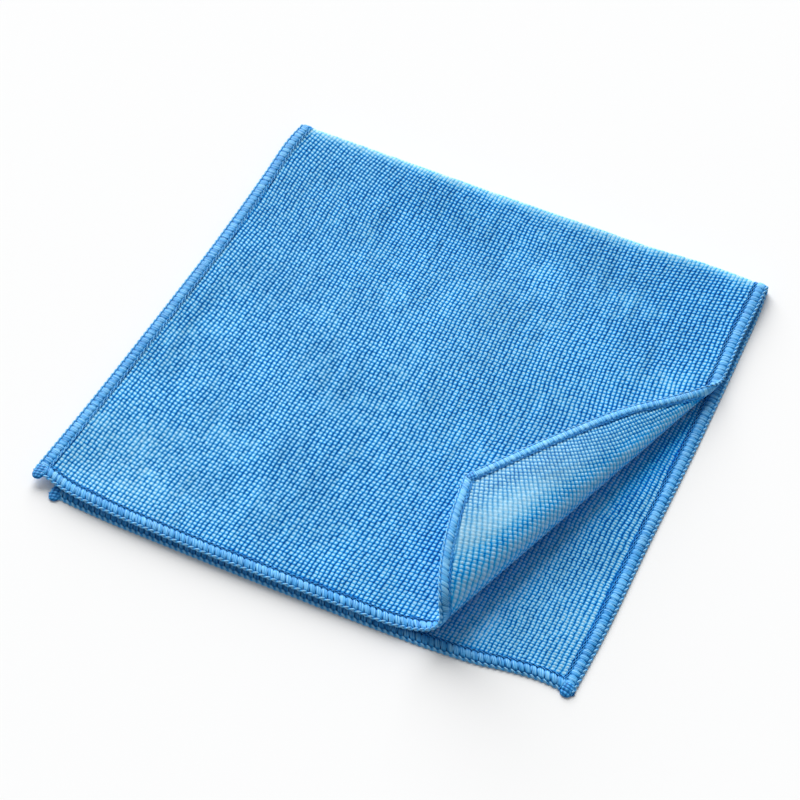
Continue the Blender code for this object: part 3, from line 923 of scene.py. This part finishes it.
# Name, side, columns, rows, points to a stitch, part, place, grooves, ground beside the hem
FACES = (
    ("knit_upper_left", -1, LEFT_COLUMNS, (-2, 138), 3, in_upper_face, stitch_place, plain_grooves,
     PLAIN_GROUND),
    ("knit_upper_right", -1, RIGHT_COLUMNS, (-2, 138), 3, in_upper_face, stitch_place, plain_grooves,
     PLAIN_GROUND),
    ("knit_underside", -1, ALL_COLUMNS, (-148, 9), 1, in_underside, stitch_place, plain_grooves,
     PLAIN_GROUND),
    ("knit_turned_corner", 1, (-80, 80), (-80, 80), 4, in_turned_corner, corner_place, ribbed_grooves,
     CORNER_GROUND),
    ("knit_lower_shown", 1, (40, 120), (-148, 0), 4, lower_face_shows, stitch_place, painted_shade_grooves,
     PLAIN_GROUND),
    ("knit_inside", 1, ALL_COLUMNS, (-148, 138), 1, stays_inside, stitch_place, plain_grooves,
     PLAIN_GROUND),
)
knit = {face[0]: knit_piece(*face) for face in FACES}

# %% [markdown]
# ## Overlock: textured polyester thread
#
# The hem is sewn on an overlock machine with fluffed polyester thread. Its loops lie side
# by side over the edge, four strands to a stitch, and look like satin. Along the very edge
# they lock into a twisted chain, and at their other end a needle thread holds them down.
# The loops are made here as strips that follow each edge of the cloth, with a row of
# points on every strand and one between strands, because tubes would spend most of their
# triangles on the sides of strands that lie against each other.

# %% Material of the thread
# The thread's colour by its relief: the darkest blues, deep between strands, are painted shade
THREAD_STOPS = ((0.0, "00244C"), (0.3, "0258A0"), (0.6, "2490DC"), (0.8, "5AB4F0"), (1.0, "98D6FC"))
FILAMENT_MM = (0.16, 1.6)      # filaments in a strand, drawn coarser than they are: width, length
FILAMENT_HEIGHT_MM = 0.08
FILAMENT_SHOWS = 0.3
THREAD_PATCH_MM = (4.0, 30.0)  # slow change of tone: across the thread, along it
THREAD_CHANGE = 0.1            # how much paler or darker that makes it
THREAD_IOR = 1.57              # polyester
THREAD_ROUGHNESS = 0.5         # satin, for its filaments lie side by side
THREAD_SPECULAR = 0.15


def textured_polyester():
    """Its colour follows the relief, and its fine filaments are a bump."""
    material = bpy.data.materials.new("textured_polyester_thread")
    material.use_nodes = True
    tree = material.node_tree
    shader = tree.nodes["Principled BSDF"]
    place = add_node(tree, "ShaderNodeAttribute", {"attribute_name": "flat"}).outputs["Vector"]
    relief = add_node(tree, "ShaderNodeAttribute", {"attribute_name": "relief"}).outputs["Fac"]
    ramp = add_node(tree, "ShaderNodeValToRGB", links={"Fac": relief})
    colour_stops(ramp, THREAD_STOPS)
    patch = patches(tree, place, THREAD_PATCH_MM, 2.0)
    range_settings = {"From Min": NOISE_RANGE[0], "From Max": NOISE_RANGE[1],
                      "To Min": 1 - THREAD_CHANGE, "To Max": 1 + THREAD_CHANGE}
    paler = add_node(tree, "ShaderNodeMapRange", range_settings, {"Value": patch}).outputs[0]
    toned = add_node(tree, "ShaderNodeHueSaturation", links={"Color": ramp.outputs[0], "Value": paler})
    tree.links.new(toned.outputs[0], shader.inputs["Base Color"])
    filament = patches(tree, place, FILAMENT_MM, 2.0)
    bump_settings = {"Strength": FILAMENT_SHOWS, "Distance": FILAMENT_HEIGHT_MM * MM}
    bump = add_node(tree, "ShaderNodeBump", bump_settings, {"Height": filament})
    tree.links.new(bump.outputs[0], shader.inputs["Normal"])
    shader.inputs["Metallic"].default_value = 0.0
    shader.inputs["IOR"].default_value = THREAD_IOR
    shader.inputs["Roughness"].default_value = THREAD_ROUGHNESS
    shader.inputs["Specular IOR Level"].default_value = THREAD_SPECULAR
    return material


thread_material = textured_polyester()
print("made", thread_material.name)

# %% The four edges, as lines in the flat cloth
STITCH_MM = 3.4
EDGE_POINTS = 1500
CORNER_ROUNDS = 40             # a corner is found by going to and fro between its two edges


def hem_corner(layer, right):
    """Corner of the cloth: layer is -1 for the lower one and 1 for the upper one."""
    x = 0.0
    for _ in range(CORNER_ROUNDS):
        d = layer * (lower_front(x) if layer < 0 else upper_front(x))
        x = right_edge(d) if right else left_edge(d)
    return float(x), float(d)


def edge_line(x, d, turn):
    """Length along an edge, its points, and its unit normal into the cloth."""
    points = np.stack(np.broadcast_arrays(x, d), axis=-1)
    run = np.gradient(points, axis=0)
    run /= np.linalg.norm(run, axis=1, keepdims=True)
    length = np.concatenate([[0], np.cumsum(np.linalg.norm(np.diff(points, axis=0), axis=1))])
    return length, points, turn * np.stack([run[:, 1], -run[:, 0]], axis=-1)


low_left, low_right = hem_corner(-1, False), hem_corner(-1, True)
top_left, top_right = hem_corner(1, False), hem_corner(1, True)
left_run = np.linspace(low_left[1], top_left[1], EDGE_POINTS)
right_run = np.linspace(low_right[1], top_right[1], EDGE_POINTS)
lower_run = np.linspace(low_left[0], low_right[0], EDGE_POINTS)
upper_run = np.linspace(top_left[0], top_right[0], EDGE_POINTS)
EDGES = {
    "left": edge_line(left_edge(left_run), left_run, 1),
    "right": edge_line(right_edge(right_run), right_run, -1),
    "lower_front": edge_line(lower_run, -lower_front(lower_run), -1),
    "upper_front": edge_line(upper_run, upper_front(upper_run), 1),
}
for name, (length, _, _) in EDGES.items():
    print(name, "edge is", round(length[-1]), "mm long")


def hem_place(edge, along, inwards):
    """Flat coordinates of a spot so far along an edge, or past its end, and so far in from it."""
    length, points, normals = EDGES[edge]
    inwards = inwards * np.interp(along, length, hem_scale(points[:, 0], points[:, 1]))
    past = along - np.clip(along, 0, length[-1])
    first, last = points[1] - points[0], points[-1] - points[-2]
    spot = []
    for k in range(2):
        onwards = np.where(past < 0, first[k] / np.linalg.norm(first), last[k] / np.linalg.norm(last))
        spot.append(np.interp(along, length, points[:, k]) + past * onwards
                    + inwards * np.interp(along, length, normals[:, k]))
    return spot[0], spot[1]


# %% Helper that makes strips and tubes of thread along an edge
THREAD_APART = 100.0           # keeps the thread's pattern apart from the knit's, in millimetres
ROW_MARGIN = 0.05              # keeps the rows of the baked picture apart


def thread_piece(name, edge, along, inwards, lift, relief, tube, bake_rows):
    """Strands along an edge. The arrays are strand by strand, along, and around or across.

    In the baked picture each strand is cut into rows, which lie one above the other."""
    x, d = hem_place(edge, along, inwards)
    points = on_cloth(x, d, lift)
    strands, steps, rings = points.shape[:3]
    number = np.arange(strands * steps * rings).reshape(strands, steps, rings)
    after = np.roll(number, -1, axis=2) if tube else number[:, :, 1:]
    before = number if tube else number[:, :, :-1]
    faces = np.stack([before[:, :-1], before[:, 1:], after[:, 1:], after[:, :-1]], axis=-1)
    ring_faces = faces.shape[2]
    strand, step, ring = np.meshgrid(range(strands), range(steps - 1), range(ring_faces), indexing="ij")
    per_row = math.ceil((steps - 1) / bake_rows)
    row = strand * bake_rows + step // per_row
    across = [(0, 0), (1, 0), (1, 1), (0, 1)]
    u = np.stack([(step % per_row + a) / per_row for a, _ in across], axis=-1)
    inset = [ROW_MARGIN + (1 - 2 * ROW_MARGIN) * (ring + b) / ring_faces for _, b in across]
    v = np.stack([(row + part) / (strands * bake_rows) for part in inset], axis=-1)
    flat = np.stack([x, d, THREAD_APART + lift], axis=-1).reshape(-1, 3) * MM
    kept = {"flat": flat, "relief": np.broadcast_to(relief, x.shape).ravel()}
    return mesh_piece(name, points.reshape(-1, 3), faces.reshape(-1, 4), kept, np.stack([u, v], axis=-1),
                      thread_material)


# %% Looper thread: the sizes of its bundles, in millimetres
STRANDS = 4
ACROSS = (5.8, 5.5, 5.0, 4.3, 3.5, 2.8, 2.2, 1.6, 1.1, 0.7)     # rows of points, from the needle line out
EDGE_ROW = 0.4                 # and one where the two faces meet
HEM_MIDDLE = 3.4
# Distance from the edge, and half the thickness of the hem with its thread there
HALF_AT = (0.5, 0.9, 1.5, 3.2, 4.9, 5.4, 5.8)
HALF_THICK = (0.40, 0.8, 1.08, 1.26, 1.15, 0.95, 0.45)
# Distance from the edge, and how plainly the strands stand up there
STAND_AT = (EDGE_ROW, 1.0, 5.2, 5.8)
STAND = (0.2, 1.0, 1.0, 0.4)
VALLEY_DEPTH = 0.24            # between two strands
PUFF = 0.05                    # how far a bundle's outer strands lie below its middle ones
GAP_DEPTH = 0.08               # between two bundles, and deeper in the notches at their ends
NOTCH_DEPTH = 0.75
STRAND_STRAY = 0.12
# Where the notches between two bundles are widest: distance from the edge, and reach
OUTER_NOTCH = (1.5, 1.6)
INNER_NOTCH = (5.8, 1.3)
INNER_SHARE = 0.7
OUTER_SQUEEZE = 0.22
INNER_SQUEEZE = 0.08
TURNED_NOTCH = 0.3             # on the turned-back corner the outer notches are nearly closed
HEM_SLANT = {"left": 0.04, "right": 0.04, "lower_front": -0.42, "upper_front": -0.42}
SLANT_STRAY = 0.12
GAP_NARROWING = -0.05
FINGER_MM = 0.6                # how far the round end of a bundle stands out between two gaps
FINGER_FROM = (3.8, 2.0)       # its rounding sets in this far from the edge, over this far
FINGER_PUSH = (0.5, 4.8, 1.0)  # and the whole end is pushed in: share, from, over
CORNER_MM = 7.0                # a hem goes under the tail of the next one here
CORNER_SINK = 0.32


def stitch_count(edge):
    return round(EDGES[edge][0][-1] / STITCH_MM)


def near_corner(edge, along):
    """1 at the ends of an edge and 0 away from them."""
    to_end = np.minimum(along, EDGES[edge][0][-1] - along)
    return 1 - smooth_step(to_end / CORNER_MM)


print("stitches on the edges:", {edge: stitch_count(edge) for edge in EDGES})

# %% Looper thread: its tones, and the strip that it makes along an edge
# Relief from 0, the darkest, to 1, the palest: the valleys between strands are painted darker, as painted
# shade
CREST_TONE = 0.93
VALLEY_TONE = 0.56
GAP_PAINTED_SHADE = (0.10, 0.75)        # how much darker a gap is, and a notch: painted shade
STRAY_TONE = 0.45
TURNED_PAINTED_LIGHT = 0.10            # on the turned-back corner the looper thread is painted a little paler, as painted light
# Distance from the edge, and the share of its tone that the thread keeps there: it is painted
# darker at the very edge, where the hem turns under, and by the needle line, as painted shade
TONE_AT = (EDGE_ROW, 1.0, 1.6, 5.2, 5.8)
TONE_KEPT_IN_PAINTED_SHADE = (0.35, 0.7, 1.0, 1.0, 0.7)


def notch_at(inwards, place):
    """1 in the middle of a notch, and 0 beyond its reach."""
    return smooth_step(1 - np.abs(inwards - place[0]) / place[1])


def looper_band(edge, seed):
    """Both faces of a hem in one strip: bundles of strands, notched where two bundles meet."""
    count = stitch_count(edge)
    pitch = EDGES[edge][0][-1] / count
    per_stitch = 2 * STRANDS
    column = np.arange(count * per_stitch + 1)
    stitch, part = column // per_stitch, column % per_stitch
    share = part / per_stitch
    share = (share + GAP_NARROWING * np.sin(2 * np.pi * share) * (part != 0))[:, None]
    gap = (part == 0)[:, None]
    crest = (part % 2 == 1)[:, None]
    inwards = np.array([*ACROSS, EDGE_ROW, *ACROSS[::-1]])
    side = np.array([-1.0] * len(ACROSS) + [0.0] + [1.0] * len(ACROSS))
    turned = in_turned_corner(*hem_place(edge, (stitch[:, None] + 0.5) * pitch, HEM_MIDDLE)) & (side > 0)
    outer_notch = notch_at(inwards, OUTER_NOTCH) * np.where(turned, TURNED_NOTCH, side != 0)
    inner_notch = notch_at(inwards, INNER_NOTCH) * (side != 0)
    notch = np.maximum(outer_notch, INNER_SHARE * inner_notch)
    squeeze = OUTER_SQUEEZE * outer_notch + INNER_SQUEEZE * inner_notch
    slant = HEM_SLANT[edge] + SLANT_STRAY * (scatter(stitch, 0, seed)[:, None] - 0.5)
    squeezed = (share - 0.5) * (1 - squeeze * ~gap) + 0.5
    along = (stitch[:, None] + squeezed) * pitch + slant * (inwards - HEM_MIDDLE)
    off_middle = np.abs(2 * share - 1)
    rounded = off_middle ** 3 * smooth_step((inwards - FINGER_FROM[0]) / FINGER_FROM[1])
    pushed = FINGER_PUSH[0] * smooth_step((inwards - FINGER_PUSH[1]) / FINGER_PUSH[2])
    finger = inwards - FINGER_MM * (rounded - pushed)
    stand = np.interp(inwards, STAND_AT, STAND) * np.abs(side)
    puff = PUFF * off_middle ** 2
    sunk = (np.where(crest, 0.0, VALLEY_DEPTH) + puff) * stand
    sunk = sunk + gap * (GAP_DEPTH * stand + NOTCH_DEPTH * notch)
    stray = scatter(column, 1, seed)[:, None] - 0.5
    half_thick = np.interp(inwards, HALF_AT, HALF_THICK) * (1 - CORNER_SINK * near_corner(edge, along))
    lift = side * (half_thick + STRAND_STRAY * stray * crest * stand - sunk)
    # The colour follows the relief: valleys, gaps, notches and a bundle's lower outer strands are painted
    # darker as painted shade, and the stray is the thread's own uneven tone
    relief = np.where(crest, CREST_TONE, VALLEY_TONE) + STRAY_TONE * stray - puff
    relief = relief - gap * (GAP_PAINTED_SHADE[0] + GAP_PAINTED_SHADE[1] * notch) + TURNED_PAINTED_LIGHT * turned
    relief = np.clip(relief * np.interp(inwards, TONE_AT, TONE_KEPT_IN_PAINTED_SHADE), 0, 1)
    along, finger, lift = (np.broadcast_to(part, relief.shape)[None] for part in (along, finger, lift))
    return thread_piece("overlock_" + edge, edge, along, finger, lift, relief[None], tube=False, bake_rows=8)


bands = [looper_band(edge, OVERLOCK_SEED + k) for k, edge in enumerate(EDGES)]

# %% Helper that winds tubes along an edge
TUBES = 2
WIND_STEPS = 5
WIND_LEAD = 2.0                # stitches to a full turn


def wound_tubes(edge, sides, radius, centre, swing):
    """Arrays of tubes that wind around one line beside an edge; centre and swing: inwards, lift."""
    count = stitch_count(edge)
    pitch = EDGES[edge][0][-1] / count
    place = np.arange(count * WIND_STEPS + 1) / WIND_STEPS
    turn = 2 * math.pi * (place[None, :] / WIND_LEAD + np.arange(TUBES)[:, None] / TUBES)
    around = 2 * math.pi * np.arange(sides) / sides
    along = np.broadcast_to((place * pitch)[None, :, None], (*turn.shape, sides))
    inwards = (centre[0] + swing[0] * np.cos(turn))[..., None] + radius * np.cos(around)
    lift = (centre[1] + swing[1] * np.sin(turn))[..., None] + radius * np.sin(around)
    return along, inwards, lift, turn


# %% Chain along the very edge, and the needle thread
CHAIN_SIDES = 6
CHAIN_RADIUS = 0.52
CHAIN_CENTRE = (0.25, -0.12)   # inwards, lift
CHAIN_SWING = (0.45, 0.55)
CHAIN_TONE = (0.66, 0.30)      # relief, and how much it rises on both faces
NEEDLE_SIDES = 4
NEEDLE_RADIUS = 0.27
NEEDLE_CENTRE = (6.6, 0.6)
NEEDLE_SWING = (0.62, 0.12)
# The needle thread is painted darker where it dips into the cloth, as painted shade
NEEDLE_TONE = (0.64, 0.10)
LEFT_NEEDLE_PAINTED_LIGHT = 0.18       # the needle thread is painted paler along the left edge, where the light falls, as painted light


def edge_chain(edge):
    along, inwards, lift, turn = wound_tubes(edge, CHAIN_SIDES, CHAIN_RADIUS, CHAIN_CENTRE, CHAIN_SWING)
    relief = np.broadcast_to(CHAIN_TONE[0] + CHAIN_TONE[1] * np.abs(np.sin(turn))[..., None], inwards.shape)
    return thread_piece("edge_chain_" + edge, edge, along, inwards, lift, relief, tube=True, bake_rows=6)


def needle_thread(edge, face, side):
    centre = (NEEDLE_CENTRE[0], side * NEEDLE_CENTRE[1])
    along, inwards, lift, turn = wound_tubes(edge, NEEDLE_SIDES, NEEDLE_RADIUS, centre, NEEDLE_SWING)
    paler = LEFT_NEEDLE_PAINTED_LIGHT if edge == "left" else 0.0
    relief = np.broadcast_to(NEEDLE_TONE[0] + paler + NEEDLE_TONE[1] * side * np.sin(turn)[..., None],
                             inwards.shape)
    name = "needle_thread_" + face + "_" + edge
    return thread_piece(name, edge, along, inwards, lift, relief, tube=True, bake_rows=6)


chains = [edge_chain(edge) for edge in EDGES]
needle_lines = [needle_thread(edge, "outer", -1) for edge in EDGES]
needle_lines += [needle_thread(edge, "inner", 1) for edge in EDGES]

# %% [markdown]
# ## Tails of the chain
#
# Where the machine runs off the cloth it goes on stitching, and leaves a short round tail
# of chain at each corner. A tail is one closed bag around the hem's middle line, with a
# relief of crossed loops, because its strands are too tangled to follow one by one.

# %% Tails of the chain at the four corners
TAIL_STEPS = 32
TAIL_SIDES = 40
TAIL_INSIDE = 6.5              # how far it reaches back over the cloth
TAIL_HALF_WIDTH = 3.3
TAIL_HALF_THICK = 1.5
TAIL_TAPER = 3.2               # 2 is an oval, more is blunter
TAIL_END = 0.0008              # keeps the ends of the bag just open
TAIL_FLATNESS = 0.7            # 1 is round across, less is boxier
TAIL_LOOP_MM = 1.8
TAIL_LOOPS_AROUND = 4
LOOP_ROUNDNESS = 0.6
LOOP_DEPTH = 0.3
TAIL_TONE = (0.14, 0.70)       # relief between the loops, painted dark as painted shade, and how much it rises on them
TAIL_PAST_END = {"left": (3.8, 4.6), "right": (2.6, 0.4)}     # at the lower layer, at the upper layer


def chain_tails(edge):
    """Where a side hem runs off the cloth, its thread goes on as a short round tail."""
    end = EDGES[edge][0][-1]
    low, high = TAIL_PAST_END[edge]
    spans = np.array([(TAIL_INSIDE, -low), (end - TAIL_INSIDE, end + high)])
    t = np.linspace(-1, 1, TAIL_STEPS)
    around = 2 * math.pi * np.arange(TAIL_SIDES) / TAIL_SIDES
    around = np.stack([around, -around])[:, None, :]
    profile = np.sqrt(np.maximum(1 - np.abs(t) ** TAIL_TAPER, TAIL_END))[None, :, None]
    along = (spans.mean(axis=1)[:, None] + np.diff(spans, axis=1) / 2 * t)[:, :, None]
    along, around, profile = np.broadcast_arrays(along, around, profile)
    inwards = HEM_MIDDLE + TAIL_HALF_WIDTH * profile * np.cos(around)
    loops = np.abs(np.cos(np.pi * along / TAIL_LOOP_MM + around) * np.cos(TAIL_LOOPS_AROUND * around))
    loops = loops ** LOOP_ROUNDNESS
    height = TAIL_HALF_THICK * profile * np.sign(np.sin(around)) * np.abs(np.sin(around)) ** TAIL_FLATNESS
    lift = height * (1 - LOOP_DEPTH * (1 - loops))
    relief = TAIL_TONE[0] + TAIL_TONE[1] * loops
    return thread_piece("chain_tails_" + edge, edge, along, inwards, lift, relief, tube=True, bake_rows=2)


tails = [chain_tails(edge) for edge in TAIL_PAST_END]

# %% [markdown]
# ## Floor and light
#
# The cloth lies on a plain white board in soft daylight from a window behind it, to the
# left. One sun lamp stands for that window: it is spread over many degrees, so that its
# shadows have soft edges, and a white sky fills them in. The board is so wide that its far
# edge never shows, even from low down.

# %% Floor
FLOOR_SIZE = 30.0              # in metres
FLOOR_DROP_MM = 0.02           # keeps the board just clear of the cloth

half = FLOOR_SIZE / 2
floor_mesh = bpy.data.meshes.new("floor")
floor_corners = [(-half, -half, 0), (half, -half, 0), (half, half, 0), (-half, half, 0)]
floor_mesh.from_pydata(floor_corners, [], [(0, 1, 2, 3)])
floor = bpy.data.objects.new("floor", floor_mesh)
floor.location.z = -FLOOR_DROP_MM * MM
bpy.context.scene.collection.objects.link(floor)
floor_material = bpy.data.materials.new("matt_white_board")
floor_material.use_nodes = True
floor_shader = floor_material.node_tree.nodes["Principled BSDF"]
floor_shader.inputs["Base Color"].default_value = srgb("F4F4F4")
floor_shader.inputs["Roughness"].default_value = 0.9
floor_shader.inputs["Specular IOR Level"].default_value = 0.2
floor_mesh.materials.append(floor_material)
print("the floor is", floor_material.name)

# %% Window light and sky light
WINDOW_AZIMUTH = 123.0         # in degrees: 0 is along +X and 90 along +Y
WINDOW_ELEVATION = 28.5
WINDOW_SPREAD = 54.0
WINDOW_STRENGTH = 5.25
SKY_COLOUR = (0.965, 0.98, 0.985, 1.0)
SKY_STRENGTH = 0.29

window_data = bpy.data.lights.new("window", "SUN")
window_data.angle = math.radians(WINDOW_SPREAD)
window_data.energy = WINDOW_STRENGTH
window = bpy.data.objects.new("window", window_data)
window.rotation_euler = (math.radians(90 - WINDOW_ELEVATION), 0.0, math.radians(WINDOW_AZIMUTH + 90))
bpy.context.scene.collection.objects.link(window)

sky = bpy.data.worlds.new("soft_white_studio")
sky.use_nodes = True
sky.node_tree.nodes["Background"].inputs["Color"].default_value = SKY_COLOUR
sky.node_tree.nodes["Background"].inputs["Strength"].default_value = SKY_STRENGTH
bpy.context.scene.world = sky
bpy.context.scene.view_settings.view_transform = "Standard"
print("lit by", window.name, "and", sky.name)

# %% [markdown]
# ## What the cloth is
#
# The size and the area that each face of the knit has when it is laid flat are printed.

for name, (piece, flat, area) in knit.items():
    print(name, "flat size (mm):", [round(side / MM, 1) for side in flat], "area (m2):", round(area, 4))
